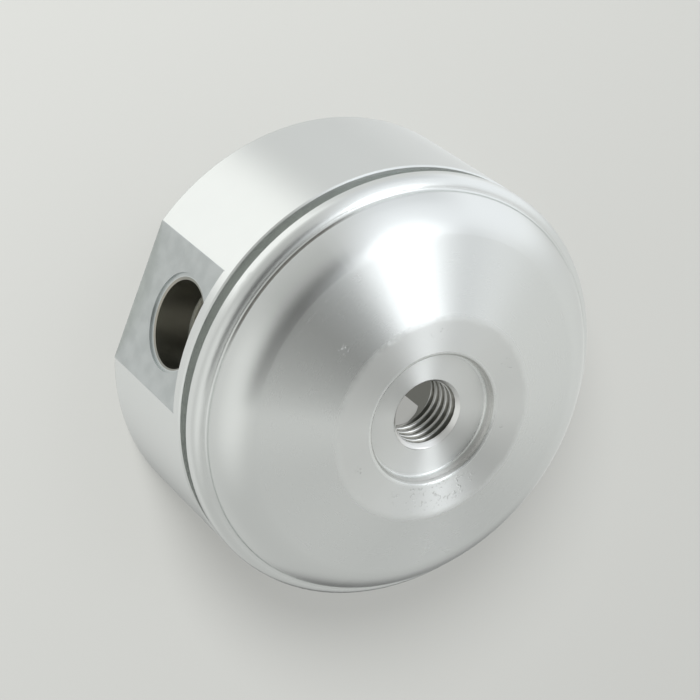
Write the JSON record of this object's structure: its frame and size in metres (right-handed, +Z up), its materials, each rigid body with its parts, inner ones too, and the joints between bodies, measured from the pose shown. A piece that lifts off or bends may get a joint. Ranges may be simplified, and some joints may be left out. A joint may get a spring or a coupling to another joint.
{
  "type": "piston",
  "caption": "Turned aluminium piston with a tapped domed crown, a ring groove, two milled flats and a cross bore for its pin.",
  "frame": {"origin": "centre of the skirt's open end, on the surface that the piston stands on", "axes": "+Z up the turning axis, from the skirt end to the crown; the pin bore runs along Y, with a milled flat facing -Y and another facing +Y"},
  "size_m": [0.072, 0.072, 0.0395],
  "materials": {
    "turned_aluminium": "bare, fine turned"
  },
  "bodies": {
    "root": {"piston_body": "turned_aluminium"}
  },
  "joints": []
}
